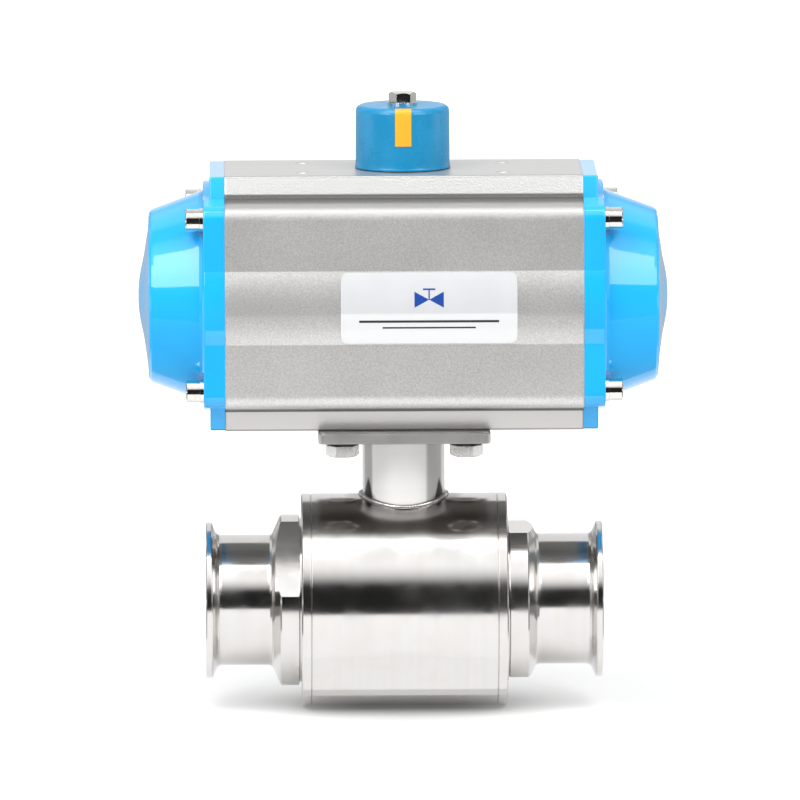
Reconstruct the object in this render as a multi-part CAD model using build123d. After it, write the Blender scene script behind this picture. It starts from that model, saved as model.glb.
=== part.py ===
from build123d import *
import math
import os

# Sanitary 3 inch clamp-end ball valve with a spring-return rack-and-pinion pneumatic actuator.
#
# Millimetres. The origin is the ball's centre, where the flow line crosses the stem line.
# +X runs along the pipe, -Y is the front with the nameplate, +Z runs up the stem.
# The valve is drawn closed: the ball's bore lies along Y and both pistons are drawn in.

os.makedirs("parts", exist_ok=True)

# ---- driving dimensions: line and valve ----
BORE_R = 36.45                # inside of 3 inch sanitary tube
TUBE_R = 38.1                 # outside of 3 inch sanitary tube
FERRULE_R = 45.5              # clamp ferrule, 91 mm
FERRULE_RIM = 3.6             # straight width of the ferrule's rim
FACE_X = 115.6                # half of face to face
BODY_R = 62.2
BODY_BORE_R = 54.0
BODY_X = 54.4                 # half length of the centre body
RING_X = 60.0                 # outer end of the adapter's collar
WRENCH_R = 50.0               # turned boss that carries the wrench flats
WRENCH_FLAT = 42.5            # half of 85 across flats
WRENCH_X = 72.2
SPIGOT_R = 57.0               # screwed spigot of the adapter
SPIGOT_X = 42.0
BALL_R = 53.0
SEAT_R = 47.0
SEAT_BORE_R = 38.0            # the seats and spigots are bored a little wider than the tube
SEAT_GAP = 0.3                # between the ball and each seat

# ---- driving dimensions: neck, stem and mounting pad ----
NECK_R = 24.0
STEM_R = 12.0
STEM_FLANGE_R = 16.5
STEM_HOLE_R = 17.0            # hole in the body that takes the neck's spigot
THRUST_Z = 58.0               # top of the stem's flange
THRUST_T = 2.0
CHAMBER_Z = 70.0              # floor of the packing chamber
CHAMBER_R = 18.0
PACKING_TOP = 82.0
GLAND_TOP = 93.7
NUT_Z = 98.05
PAD_Z = 98.0                  # underside of the mounting pad
PAD_T = 7.0
PAD_HALF = 50.0
PAD_STEP = 1.2                # how far the pad steps in just below the actuator
PAD_STEP_H = 0.9
BOLT_PCD = 102.0              # ISO 5211 F10
STEM_SQUARE = 17.0
DRIVE_SQUARE = 22.0

# ---- driving dimensions: actuator ----
HOUSING_X = 104.0             # half length of the housing
END_CHAMFER = 0.4
HALF_HEIGHT = 74.5
BASE_Z = PAD_Z + PAD_T        # underside of the actuator
AXIS_Z = BASE_Z + HALF_HEIGHT
TOP_Z = AXIS_Z + HALF_HEIGHT
CYLINDER_R = 62.5             # 125 mm bore
RAIL_HALF = 41.5              # half width of the flat on top of the housing
RAIL_FOOT = 45.6              # half width where the rail's leaning sides meet the ledge
LEDGE_Z = 62.0
SHOULDER_HALF = 64.0
SHOULDER_Z = 58.0
SHOULDER_FILLET = 8.5
BARREL_R = 67.5
PORT_FACE = 74.5
PORT_FACE_HALF = 24.0
CAP_RAIL_T = 8.7
CAP_PLATE_T = 12.4
CAP_SCREW = 50.0              # cap screws stand at +-50, +-50 from the cylinder's axis

# ---- driving dimensions: rack and pinion ----
MODULE = 3.0
TEETH = 14
PRESSURE = 20.0
ADDENDUM = 2.4
DEDENDUM = 3.1
TOOTH = 4.5                   # tooth width at the pitch line, thinned for backlash
PITCH_R = MODULE * TEETH / 2
PITCH = math.pi * MODULE
GEAR_Z0 = AXIS_Z - 30.5
GEAR_Z1 = AXIS_Z + 30.5
RACK_HALF = 24.5              # half the rack's height
PISTON_R = 62.1
PISTON_X0 = 45.0              # inner face of the piston's head, closed
PISTON_X1 = 66.0
RACK_TIP_X = 42.0             # how far each rack reaches past the pinion, closed
JOURNAL_R = 24.5
TOP_JOURNAL_R = 18.0
CAM_Z0 = 135.0
CAM_Z1 = 147.0
CAM_R = 42.0
CAM_FLAT = 10.0
STOP_X = 34.0
STOP_Z = 141.0
STOP_R = 5.0
STOP_END = 78.0

# ---- driving dimensions: springs ----
SPRING_PCR = 28.0
SPRING_COIL_R = 11.2
SPRING_WIRE_R = 1.8
SPRING_TURNS = 9
SPRINGS = 6
SPRING_X0 = PISTON_X1 - 6.0 + SPRING_WIRE_R + 0.1
SPRING_X1 = HOUSING_X + 40.0 - SPRING_WIRE_R - 0.1

# ---- driving dimensions: indicator ----
IND_R = 27.4
IND_Z0 = TOP_Z + 0.6
IND_Z1 = TOP_Z + 36.8
MARK_HALF = 4.8
MARK_DROP = 21.6              # how far the mark comes down the front, from the top

# ---- driving dimensions: nameplate ----
PLATE_X0 = -37.0
PLATE_X1 = 65.2
PLATE_HALF = 20.6
PLATE_T = 0.45

SIDES = (("left", -1), ("right", 1))


# ---- helpers ----
def rod_x(r, x0, x1, y=0.0, z=0.0):
    """Cylinder along X."""
    lo = min(x0, x1)
    return Pos(lo, y, z) * Rot(0, 90, 0) * Cylinder(r, abs(x1 - x0), align=(Align.CENTER, Align.CENTER, Align.MIN))


def rod_y(r, y0, y1, x=0.0, z=0.0):
    """Cylinder along Y."""
    hi = max(y0, y1)
    return Pos(x, hi, z) * Rot(90, 0, 0) * Cylinder(r, abs(y1 - y0), align=(Align.CENTER, Align.CENTER, Align.MIN))


def rod_z(r, z0, z1, x=0.0, y=0.0):
    """Cylinder along Z."""
    return Pos(x, y, min(z0, z1)) * Cylinder(r, abs(z1 - z0), align=(Align.CENTER, Align.CENTER, Align.MIN))


def block(x0, x1, y0, y1, z0, z1):
    """Box between two corners."""
    centre = Pos((x0 + x1) / 2, (y0 + y1) / 2, (z0 + z1) / 2)
    return centre * Box(abs(x1 - x0), abs(y1 - y0), abs(z1 - z0))


def turn_x(points, z=0.0):
    """Solid of revolution about a line along X, from (x, radius) points."""
    face = make_face(Polyline(*points, close=True))
    return Pos(0, 0, z) * revolve(face, Axis.X)


def turn_z(points):
    """Solid of revolution about Z, from (radius, z) points."""
    face = make_face(Polyline(*[(r, 0, z) for r, z in points], close=True))
    return revolve(face, Axis.Z)


def hex_z(across_flats, z0, z1, x=0.0, y=0.0, turn=0.0):
    """Hexagonal prism along Z."""
    outline = RegularPolygon(across_flats / 2, 6, major_radius=False, rotation=turn)
    return Pos(x, y, z0) * extrude(outline, z1 - z0)


def nut_shape(across_flats, z0, z1, chamfer_top=True, chamfer_base=False, turn=0.0):
    """Hexagon whose corners are turned off at 30 degrees on the chosen faces."""
    solid = hex_z(across_flats, z0, z1, turn=turn)
    corner = across_flats / math.sqrt(3)
    rise = (corner - across_flats * 0.475) * math.tan(math.radians(30))
    profile = [(0, z0), (corner + 1, z0), (corner + 1, z1), (0, z1)]
    if chamfer_top:
        profile[2:3] = [(corner + 1, z1 - rise - 0.58), (across_flats * 0.475, z1)]
    if chamfer_base:
        profile[1:2] = [(across_flats * 0.475, z0), (corner + 1, z0 + rise + 0.58)]
    return solid & turn_z(profile)


def ring_x(r, wire, x, z=0.0):
    """O-ring whose axis is along X."""
    return Pos(x, 0, z) * Rot(0, 90, 0) * Torus(r, wire)


def ring_z(r, wire, z):
    """O-ring whose axis is along Z."""
    return Pos(0, 0, z) * Torus(r, wire)


def lock_washer(r_in, r_out, t):
    """Split spring washer lying on Z = 0."""
    ring = rod_z(r_out, 0, t) - rod_z(r_in, -1, t + 1)
    slit = Rot(0, 0, 20) * block(r_in - 1, r_out + 1, -0.45, 0.45, -1, t + 1)
    return ring - slit


def group(solids):
    """Identical pieces kept as separate solids in one node."""
    return Compound(children=[s.solid() for s in solids])


def save(name, shape):
    export_step(shape, f"parts/{name}.step")


# ---- valve ----
def valve_body():
    """Centre body: a turned barrel with a screwed bore at each end and the stem hole on top."""
    barrel = rod_x(BODY_R, -BODY_X, BODY_X)
    barrel = chamfer(barrel.edges().filter_by(GeomType.CIRCLE), 0.5)
    barrel -= rod_x(BODY_BORE_R, -BODY_X - 1, BODY_X + 1)
    for _, s in SIDES:
        barrel -= rod_x(SPIGOT_R + 0.05, s * SPIGOT_X, s * (BODY_X + 1))
    return barrel - rod_z(STEM_HOLE_R, 40, BODY_R + 2)


def end_adapter(s):
    """Clamp ferrule, tube, wrench boss, collar and screwed spigot in one turned piece."""
    ferrule_back = FACE_X - FERRULE_RIM
    outline = [
        (SPIGOT_X, SEAT_BORE_R),
        (SPIGOT_X, SPIGOT_R - 1.0),
        (SPIGOT_X + 1.0, SPIGOT_R),
        (BODY_X, SPIGOT_R),
        (BODY_X, BODY_R - 0.4),
        (BODY_X + 0.4, BODY_R),
        (RING_X - 0.7, BODY_R),
        (RING_X, BODY_R - 0.7),
        (RING_X, WRENCH_R - 2.0),
        (RING_X + 0.9, WRENCH_R - 2.0),
        (RING_X + 1.6, WRENCH_R),
        (WRENCH_X - 0.6, WRENCH_R),
        (WRENCH_X + 0.2, WRENCH_R - 0.8),
        (WRENCH_X + 4.2, TUBE_R + 1.9),
        (WRENCH_X + 5.0, TUBE_R + 0.8),
        (WRENCH_X + 6.2, TUBE_R + 0.2),
        (WRENCH_X + 7.6, TUBE_R),
        (ferrule_back - 5.6, TUBE_R),
        (ferrule_back - 4.2, TUBE_R + 0.3),
        (ferrule_back - 3.0, TUBE_R + 1.1),
        (ferrule_back - 2.3, TUBE_R + 2.2),
        (ferrule_back - 0.3, FERRULE_R - 0.5),
        (ferrule_back + 0.5, FERRULE_R),
        (FACE_X - 0.5, FERRULE_R),
        (FACE_X, FERRULE_R - 0.5),
        (FACE_X, 42.6),
        (FACE_X - 1.6, 41.8),
        (FACE_X - 1.6, 40.6),
        (FACE_X, 39.8),
        (FACE_X, BORE_R),
        (BODY_X + 4.0, BORE_R),
        (BODY_X + 3.6, SEAT_BORE_R),
    ]
    piece = turn_x([(s * x, r) for x, r in outline])
    for side in (-1, 1):
        lo, hi = sorted((side * WRENCH_FLAT, side * (WRENCH_R + 4)))
        flat = block(RING_X + 0.9, WRENCH_X + 3, -60, 60, lo, hi)
        tilt = 48 if s < 0 else 0
        piece -= Rot(tilt, 0, 0) * (flat if s > 0 else flat.mirror(Plane.YZ))
    return piece


def seat(s):
    """Moulded seat ring whose inner face follows the ball."""
    hollow = BALL_R + SEAT_GAP
    inner = SEAT_BORE_R
    start = (s * math.sqrt(hollow**2 - SEAT_R**2), SEAT_R)
    end = (s * math.sqrt(hollow**2 - inner**2), inner)
    middle_r = (SEAT_R + inner) / 2
    middle = (s * math.sqrt(hollow**2 - middle_r**2), middle_r)
    edge = Curve() + [
        ThreePointArc(start, middle, end),
        Polyline(end, (s * SPIGOT_X, inner), (s * SPIGOT_X, SEAT_R), start)]
    return revolve(make_face(edge), Axis.X)


def body_seal(s):
    """Flat gasket between the adapter's spigot and the body's shoulder."""
    return rod_x(53.4, s * (SPIGOT_X - 1.5), s * SPIGOT_X) - rod_x(SEAT_R + 0.2, s * 30, s * 50)


def ball():
    """Floating ball: flow bore along Y when closed, and the stem's slot on top."""
    solid = Sphere(BALL_R) - rod_y(BORE_R, -60, 60)
    solid -= block(-60, 60, -7.15, 7.15, 43, 60)
    vent = rod_x(2.0, 20, 60)
    return solid - vent


def stem():
    """Blow-out-proof stem: tang, flange, journal, thread length and top square."""
    piece = block(-14, 14, -7, 7, 43.6, 54.2) & rod_z(15, 40, 60)
    piece += rod_z(STEM_FLANGE_R, 54.0, THRUST_Z)
    piece += rod_z(STEM_R, THRUST_Z, BASE_Z + 0.5)
    square = block(-STEM_SQUARE / 2, STEM_SQUARE / 2, -STEM_SQUARE / 2, STEM_SQUARE / 2, BASE_Z, 128)
    piece += square & turn_z([(0, 100), (STEM_R - 0.4, 100), (STEM_R - 0.4, 126.6), (STEM_R - 1.8, 128), (0, 128)])
    return piece


def stem_thrust_washer():
    return rod_z(STEM_FLANGE_R, THRUST_Z, THRUST_Z + THRUST_T) - rod_z(STEM_R + 0.3, 50, 70)


def bonnet_neck():
    """Neck tube welded on the body: holds the stem's bush, the packing and the gland."""
    neck = rod_z(NECK_R, 40, PAD_Z) - rod_x(BODY_R, -80, 80)
    neck += rod_z(STEM_HOLE_R, THRUST_Z + THRUST_T, CHAMBER_Z)
    neck -= rod_z(STEM_R + 1.6, 40, 120)
    return neck - rod_z(CHAMBER_R, CHAMBER_Z, 120)


def stem_bush():
    return rod_z(STEM_R + 1.55, THRUST_Z + THRUST_T, CHAMBER_Z) - rod_z(STEM_R + 0.05, 50, 80)


def weld_bead():
    """Weld fillet that runs round the neck where it meets the barrel."""
    collar = rod_z(NECK_R + 2.6, 50, 75) - rod_z(NECK_R + 0.02, 40, 80)
    skin = rod_x(BODY_R + 1.7, -40, 40) - rod_x(BODY_R + 0.02, -41, 41)
    slope = Solid.make_cone(NECK_R + 14.0, NECK_R - 2, 16).moved(Pos(0, 0, 52))
    return (collar & skin & slope).solid()


def packing():
    """Three chevron rings stacked in the packing chamber."""
    rings = []
    t = (PACKING_TOP - CHAMBER_Z) / 3
    for i in range(3):
        z = CHAMBER_Z + i * t
        mid = (STEM_R + 0.05 + CHAMBER_R - 0.05) / 2
        points = [(STEM_R + 0.1, z), (mid, z + 1.2), (CHAMBER_R - 0.1, z), (CHAMBER_R - 0.1, z + t - 1.2)]
        points += [(mid, z + t), (STEM_R + 0.1, z + t - 1.2)]
        rings.append(turn_z(points))
    return group(rings)


def gland():
    """Gland follower: sleeve that presses the packing."""
    sleeve = rod_z(CHAMBER_R - 0.1, PACKING_TOP + 0.1, GLAND_TOP)
    return sleeve - rod_z(STEM_R + 0.3, 70, 100)


def disc_springs():
    """Two coned disc springs, back to back, that keep the packing loaded."""
    inner = STEM_R + 0.3
    outer = CHAMBER_R - 0.6
    low = GLAND_TOP + 0.05
    first = [(outer, low), (outer, low + 1.0), (inner, low + 2.1), (inner, low + 1.1)]
    second = [(inner, low + 2.15), (inner, low + 3.15), (outer, low + 4.25), (outer, low + 3.25)]
    return group([turn_z(first), turn_z(second)])


def stem_nut():
    return nut_shape(36.0, NUT_Z, NUT_Z + 6.5) - rod_z(STEM_R + 0.02, 90, 110)


def bolt_places():
    half = BOLT_PCD / 2 / math.sqrt(2)
    return [(x, y) for x in (-half, half) for y in (-half, half)]


def mounting_pad():
    """Square ISO pad on top of the neck, stepped in at the top, with the locating recess."""
    pad = block(-PAD_HALF, PAD_HALF, -PAD_HALF, PAD_HALF, PAD_Z, BASE_Z - PAD_STEP_H)
    pad = fillet(pad.edges().filter_by(Axis.Z), 4.0)
    pad = chamfer(pad.edges().group_by(Axis.Z)[0], 0.4)
    pad = chamfer(pad.edges().group_by(Axis.Z)[-1], 0.4)
    half = PAD_HALF - PAD_STEP
    step = block(-half, half, -half, half, BASE_Z - PAD_STEP_H, BASE_Z)
    pad += fillet(step.edges().filter_by(Axis.Z), 3.0)
    pad -= rod_z(22.0, PAD_Z - 1, BASE_Z + 1)
    pad -= rod_z(35.1, BASE_Z - 2.5, BASE_Z + 1)
    for x, y in bolt_places():
        pad -= rod_z(5.5, PAD_Z - 1, BASE_Z + 1, x, y)
    return pad


def locating_ring():
    return rod_z(35.0, BASE_Z - 2.4, BASE_Z + 2.4) - rod_z(29.0, 90, 120)


def mounting_bolts():
    bolts = []
    for i, (x, y) in enumerate(bolt_places()):
        head = nut_shape(17.0, 0, 6.4, chamfer_top=False, chamfer_base=True, turn=(8, 31, 52, 4)[i])
        shank = rod_z(5.0, 6.4, 28.0)
        bolts.append(Pos(x, y, PAD_Z - 2.1 - 6.4) * (head + chamfer(shank.edges().group_by(Axis.Z)[-1], 0.8)))
    return group(bolts)


def mounting_washers():
    washer = lock_washer(5.2, 8.9, 2.1)
    return group([Pos(x, y, PAD_Z - 2.1) * Rot(0, 0, 70 * i) * washer for i, (x, y) in enumerate(bolt_places())])


# ---- actuator housing and caps ----
def outline(shrink=0.0, rails=True):
    """Cross-section of the extruded housing, in (Y, Z) about the cylinder's axis."""
    half = SHOULDER_HALF - shrink
    foot = RAIL_FOOT - shrink
    ledge = LEDGE_Z - shrink
    edge = SHOULDER_Z - shrink
    shoulder = make_face(Polyline(
        (-half, -edge), (-foot, -ledge), (foot, -ledge), (half, -edge),
        (half, edge), (foot, ledge), (-foot, ledge), (-half, edge), close=True))
    corners = [v for v in shoulder.vertices() if abs(abs(v.X) - half) < 0.01]
    face = fillet(corners, SHOULDER_FILLET)
    face += Circle(BARREL_R - shrink)
    if rails:
        flat = RAIL_HALF - shrink
        top = HALF_HEIGHT - shrink
        for up in (-1, 1):
            rail = make_face(Polyline((-foot, 0), (-foot, up * ledge), (-flat, up * top),
                                      (flat, up * top), (foot, up * ledge), (foot, 0), close=True))
            face += fillet([v for v in rail.vertices() if abs(v.Y) > ledge + 1], 1.2)
    depth = PORT_FACE - shrink
    tab = Pos(depth / 2, 0) * Rectangle(depth, 2 * (PORT_FACE_HALF - shrink))
    return face + fillet([v for v in tab.vertices() if v.X > 10], 2.0)


def prism(face, x0, x1):
    """Extrude a (Y, Z) face along X, about the cylinder's axis."""
    placed = Plane(origin=(x0, 0, AXIS_Z), x_dir=(0, 1, 0), z_dir=(1, 0, 0)) * face
    return extrude(placed, x1 - x0, dir=(1, 0, 0))


def cap_screw_places():
    return [(y, z) for y in (-CAP_SCREW, CAP_SCREW) for z in (-CAP_SCREW, CAP_SCREW)]


def accessory_holes():
    return [(x, y) for x in (-58.3, 58.3) for y in (-25.0, 25.0)]


def air_passages():
    """Two air ports on the rear face, with the duct that feeds both end chambers."""
    cuts = rod_y(5.9, 65.5, PORT_FACE + 1, x=-12, z=AXIS_Z)
    cuts += rod_y(3.0, 55, 70, x=-12, z=AXIS_Z)
    cuts += rod_y(5.9, 65.5, PORT_FACE + 1, x=12, z=AXIS_Z)
    cuts += rod_z(1.8, AXIS_Z, AXIS_Z + 18, x=12, y=68.5)
    cuts += rod_x(2.5, -HOUSING_X - 1, HOUSING_X + 1, y=68.5, z=AXIS_Z + 18)
    for x in (-16, 16):
        for z in (-12, 12):
            cuts += rod_y(2.1, 66, PORT_FACE + 1, x=x, z=AXIS_Z + z)
    return cuts


def actuator_housing():
    """Extruded cylinder with mounting, cap, stop and accessory holes."""
    body = prism(outline(), -HOUSING_X, HOUSING_X)
    ends = body.edges().group_by(Axis.X)
    body = chamfer(ends[0] + ends[-1], END_CHAMFER)
    body -= rod_x(CYLINDER_R, -HOUSING_X - 1, HOUSING_X + 1, z=AXIS_Z)
    body -= rod_z(28.0, BASE_Z - 1, AXIS_Z - 30)
    body -= rod_z(35.1, BASE_Z - 1, BASE_Z + 2.5)
    body -= rod_z(22.0, AXIS_Z + 30, TOP_Z + 1)
    for x, y in bolt_places():
        body -= rod_z(5.1, BASE_Z - 1, BASE_Z + 17, x, y)
    for x, y in accessory_holes():
        body -= rod_z(2.1, TOP_Z - 9, TOP_Z + 1, x, y)
        body -= Pos(x, y, TOP_Z - 1.7) * Cone(2.1, 4.0, 1.8, align=(Align.CENTER, Align.CENTER, Align.MIN))
    for _, s in SIDES:
        for y, z in cap_screw_places():
            body -= rod_x(4.1, s * (HOUSING_X - 20), s * (HOUSING_X + 1), y, AXIS_Z + z)
        body -= rod_y(STOP_R + 0.1, 40, 80, x=s * STOP_X, z=STOP_Z)
    return body - air_passages()


def cap_dome():
    """Turned outside of the cap: a coned side and a crown that swells softly in the middle."""
    side = Polyline(
        (0.0, 0.0), (0.0, 63.0), (CAP_PLATE_T, 63.0), (CAP_PLATE_T + 0.7, 61.8),
        (CAP_PLATE_T + 2.4, 60.7), (CAP_PLATE_T + 4.6, 59.9), (41.2, 50.9), (42.6, 50.3),
        (43.6, 49.3), (44.2, 48.0))
    crown = Spline(
        (44.2, 48.0), (45.2, 37.4), (46.5, 28.0), (47.3, 22.8), (48.3, 18.2), (49.3, 13.0), (50.3, 0.0),
        tangents=[(1.2, -12.0), (0.0, -1.0)])
    face = make_face(Curve() + [side, crown, Line((50.3, 0.0), (0.0, 0.0))])
    placed = Plane(origin=(HOUSING_X, 0, AXIS_Z), x_dir=(1, 0, 0), z_dir=(0, -1, 0)) * face
    return revolve(placed, Axis((0, 0, AXIS_Z), (1, 0, 0)))


def end_cap(s):
    """Die-cast cap: flange that follows the housing, coned dome and crown."""
    face_x = HOUSING_X
    thin = prism(outline(0.4), face_x, face_x + CAP_RAIL_T)
    thin = fillet(thin.edges().group_by(Axis.X)[-1], 1.0)
    thick = prism(outline(0.4, rails=False), face_x, face_x + CAP_PLATE_T)
    thick = fillet(thick.edges().group_by(Axis.X)[-1], 1.0)
    cap = thin + thick
    cap += cap_dome()
    for y, z in cap_screw_places():
        cap -= rod_x(10.6, face_x + CAP_PLATE_T, face_x + 60, y, AXIS_Z + z)
        cap -= rod_x(4.3, face_x - 1, face_x + 30, y, AXIS_Z + z)
    cavity = [(-6, 0), (-6, 58.0), (2, 58.0), (10, 55.5), (36, 46.5), (40, 43.5), (40, 0)]
    spigot = rod_x(CYLINDER_R - 0.1, face_x - 3.8, face_x, z=AXIS_Z)
    groove = rod_x(CYLINDER_R + 1, face_x - 3.0, face_x - 0.9, z=AXIS_Z) - rod_x(60.4, 0, 200, z=AXIS_Z)
    cap += spigot - groove
    cap -= turn_x([(face_x + d, r) for d, r in cavity], AXIS_Z)
    cap -= block(face_x, face_x + 3, 50, 71, AXIS_Z + 16, AXIS_Z + 20)
    return cap if s > 0 else cap.mirror(Plane.YZ)


def cap_seal(s):
    """Round seal in the cap's spigot groove."""
    return ring_x(61.45, 0.95, s * (HOUSING_X - 1.95), AXIS_Z)


def screw_head():
    """M8 socket head screw along +Z, the head's seat at Z = 0."""
    head = chamfer(rod_z(6.5, 0, 8.0).edges().group_by(Axis.Z)[-1], 0.6)
    head -= hex_z(6.0, 4.0, 9.0)
    shank = rod_z(4.0, -30.0, 0)
    return head + shank


def along_x(shape, s):
    """Turn a piece drawn along +Z so that it points out of the left or right cap."""
    return Rot(0, 90 * s, 0) * shape


def cap_screws(s):
    start = s * (HOUSING_X + CAP_PLATE_T + 2.2)
    screw = along_x(screw_head(), s)
    return group([Pos(start, y, AXIS_Z + z) * screw for y, z in cap_screw_places()])


def cap_washers(s):
    washer = along_x(lock_washer(4.2, 6.9, 2.1), s)
    start = s * (HOUSING_X + CAP_PLATE_T + 0.05)
    return group([Pos(start, y, AXIS_Z + z) * washer for y, z in cap_screw_places()])


# ---- pistons ----
def rack_profile():
    """Rack teeth as an (X, Y) face: pitch line on Y = PITCH_R, teeth pointing to -Y."""
    tip = PITCH_R - ADDENDUM
    root = PITCH_R + DEDENDUM
    slope = math.tan(math.radians(PRESSURE))
    points = [(-PISTON_X0, root)]
    for k in range(-3, 5):
        x = k * PITCH
        points.append((x - TOOTH / 2 - DEDENDUM * slope, root))
        points.append((x - TOOTH / 2 + ADDENDUM * slope, tip))
        points.append((x + TOOTH / 2 - ADDENDUM * slope, tip))
        points.append((x + TOOTH / 2 + DEDENDUM * slope, root))
    points += [(RACK_TIP_X, root), (RACK_TIP_X, 46.0), (-PISTON_X0, 46.0)]
    return make_face(Polyline(*points, close=True))


def piston(s):
    """Piston head with its integral rack. The left rack runs behind the pinion."""
    head = rod_x(PISTON_R, -PISTON_X1, -PISTON_X0, z=AXIS_Z)
    head -= rod_x(PISTON_R + 1, -52.0, -48.0, z=AXIS_Z) - rod_x(59.6, -80, 0, z=AXIS_Z)
    head -= rod_x(PISTON_R + 1, -62.2, -57.0, z=AXIS_Z) - rod_x(57.0, -80, 0, z=AXIS_Z)
    for a in range(SPRINGS):
        angle = math.radians(a * 360 / SPRINGS)
        y = SPRING_PCR * math.cos(angle)
        z = AXIS_Z + SPRING_PCR * math.sin(angle)
        head -= rod_x(13.4, -PISTON_X1 - 1, -PISTON_X1 + 6.0, y, z)
    arm = Pos(0, 0, AXIS_Z - RACK_HALF) * extrude(rack_profile(), 2 * RACK_HALF)
    arm += block(-PISTON_X0 - 1, -PISTON_X0, PITCH_R + DEDENDUM, 46.0, AXIS_Z - RACK_HALF, AXIS_Z + RACK_HALF)
    piece = head + arm
    return piece if s < 0 else Rot(0, 0, 180) * piece


def piston_seal(s):
    return ring_x(59.75, 2.45, s * 59.6, AXIS_Z)


def piston_guide_ring(s):
    band = rod_x(62.2, s * 48.1, s * 51.9, z=AXIS_Z)
    return band - rod_x(59.7, s * 40, s * 60, z=AXIS_Z)


def rack_guide(s):
    """Bearing shoe between the back of the rack and the cylinder wall."""
    shoe = rod_x(62.1, -36.0, 38.0, z=AXIS_Z)
    shoe &= block(-36.0, 38.0, 46.05, 63.0, AXIS_Z - 18, AXIS_Z + 18)
    return shoe if s < 0 else Rot(0, 0, 180) * shoe


# ---- pinion and its bearings ----
def gear_profile():
    """Involute pinion with radial flanks below the base circle."""
    base = PITCH_R * math.cos(math.radians(PRESSURE))
    tip = PITCH_R + ADDENDUM
    root = PITCH_R - DEDENDUM
    flat = math.tan(math.radians(PRESSURE)) - math.radians(PRESSURE)
    half = TOOTH / 2 / PITCH_R + flat

    def flank(r):
        angle = math.acos(base / r)
        return half - (math.tan(angle) - angle)

    steps = [base + (tip - base) * i / 5 for i in range(6)]
    points = []
    for k in range(TEETH):
        mid = 2 * math.pi * k / TEETH
        side = [(root, half + 0.02)] + [(r, flank(r)) for r in steps]
        points += [(r * math.cos(mid - a), r * math.sin(mid - a)) for r, a in side]
        points += [(r * math.cos(mid + a), r * math.sin(mid + a)) for r, a in reversed(side)]
    return make_face(Polyline(*points, close=True))


def pinion():
    """Drive shaft: bottom journal with the drive socket, teeth, top journal and top flats."""
    shaft = Pos(0, 0, GEAR_Z0) * extrude(gear_profile(), GEAR_Z1 - GEAR_Z0)
    shaft += rod_z(JOURNAL_R, BASE_Z + 0.5, GEAR_Z0)
    shaft += rod_z(TOP_JOURNAL_R, GEAR_Z1, TOP_Z + 6)
    shaft -= rod_z(TOP_JOURNAL_R + 1, TOP_Z + 0.9, TOP_Z + 2.5) - rod_z(TOP_JOURNAL_R - 1.3, 200, 300)
    shaft += block(-11, 11, -11, 11, TOP_Z + 6, TOP_Z + 26) & rod_z(14.5, 250, 300)
    socket = DRIVE_SQUARE / 2 + 0.05
    shaft -= block(-socket, socket, -socket, socket, BASE_Z - 1, BASE_Z + 25)
    shaft -= Rot(0, 0, 45) * block(-socket, socket, -socket, socket, BASE_Z - 1, BASE_Z + 25)
    shaft -= rod_z(4.1, TOP_Z + 8, TOP_Z + 27)
    shaft -= rod_z(JOURNAL_R + 1, BASE_Z + 3.6, BASE_Z + 6.4) - rod_z(JOURNAL_R - 2.3, 100, 120)
    return shaft


def drive_sleeve():
    """Square reducer between the stem's square and the pinion's socket."""
    half = DRIVE_SQUARE / 2
    sleeve = block(-half, half, -half, half, BASE_Z + 1.5, BASE_Z + 22.5)
    sleeve = chamfer(sleeve.edges().filter_by(Axis.Z), 1.5)
    inner = STEM_SQUARE / 2 + 0.05
    return sleeve - block(-inner, inner, -inner, inner, BASE_Z, BASE_Z + 30)


def stop_cam():
    """Cam on the pinion that meets one stop bolt closed and the other open."""
    lobe = rod_z(CAM_R, CAM_Z0, CAM_Z1) & block(-50, CAM_FLAT, -50, CAM_FLAT, CAM_Z0 - 1, CAM_Z1 + 1)
    cam = rod_z(29.0, CAM_Z0, CAM_Z1) + lobe
    return cam - rod_z(JOURNAL_R + 0.02, 120, 160)


def lower_bearing():
    return rod_z(27.95, BASE_Z + 7.2, BASE_Z + 15.5) - rod_z(JOURNAL_R + 0.06, 90, 140)


def upper_bearing():
    return rod_z(21.95, TOP_Z - 10.5, TOP_Z - 1.5) - rod_z(TOP_JOURNAL_R + 0.06, 200, 280)


def lower_pinion_seal():
    return ring_z(JOURNAL_R - 0.95, 1.3, BASE_Z + 5.0)


def thrust_washer():
    return rod_z(24.0, TOP_Z + 0.02, TOP_Z + 0.85) - rod_z(TOP_JOURNAL_R + 0.3, 240, 270)


def snap_ring():
    """External retaining ring that holds the pinion down."""
    ring = rod_z(21.5, TOP_Z + 1.0, TOP_Z + 2.4) - rod_z(TOP_JOURNAL_R - 1.2, 240, 270)
    return ring - block(0, 30, -4, 4, TOP_Z, TOP_Z + 4)


# ---- travel stops ----
def stop_bolt(s):
    """Set screw whose tip faces the cam, with a hex socket in its outer end."""
    screw = chamfer(rod_y(STOP_R, CAM_FLAT + 0.2, STOP_END).edges().group_by(Axis.Y)[-1], 0.8)
    socket = Rot(90, 0, 0) * hex_z(5.0, -STOP_END - 1, -STOP_END + 5)
    return Pos(s * STOP_X, 0, STOP_Z) * (screw - socket)


def stop_nuts():
    nuts = []
    for _, s in SIDES:
        nut = nut_shape(17.0, 0, 6.0, chamfer_base=True, turn=12 * s) - rod_z(STOP_R + 0.1, -1, 9)
        nuts.append(Pos(s * STOP_X, SHOULDER_HALF + 1.6, STOP_Z) * Rot(-90, 0, 0) * nut)
    return group(nuts)


def stop_seals():
    washer = rod_y(8.6, SHOULDER_HALF + 0.02, SHOULDER_HALF + 1.55) - rod_y(STOP_R + 0.1, 60, 70)
    return group([Pos(s * STOP_X, 0, STOP_Z) * washer for _, s in SIDES])


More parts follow.
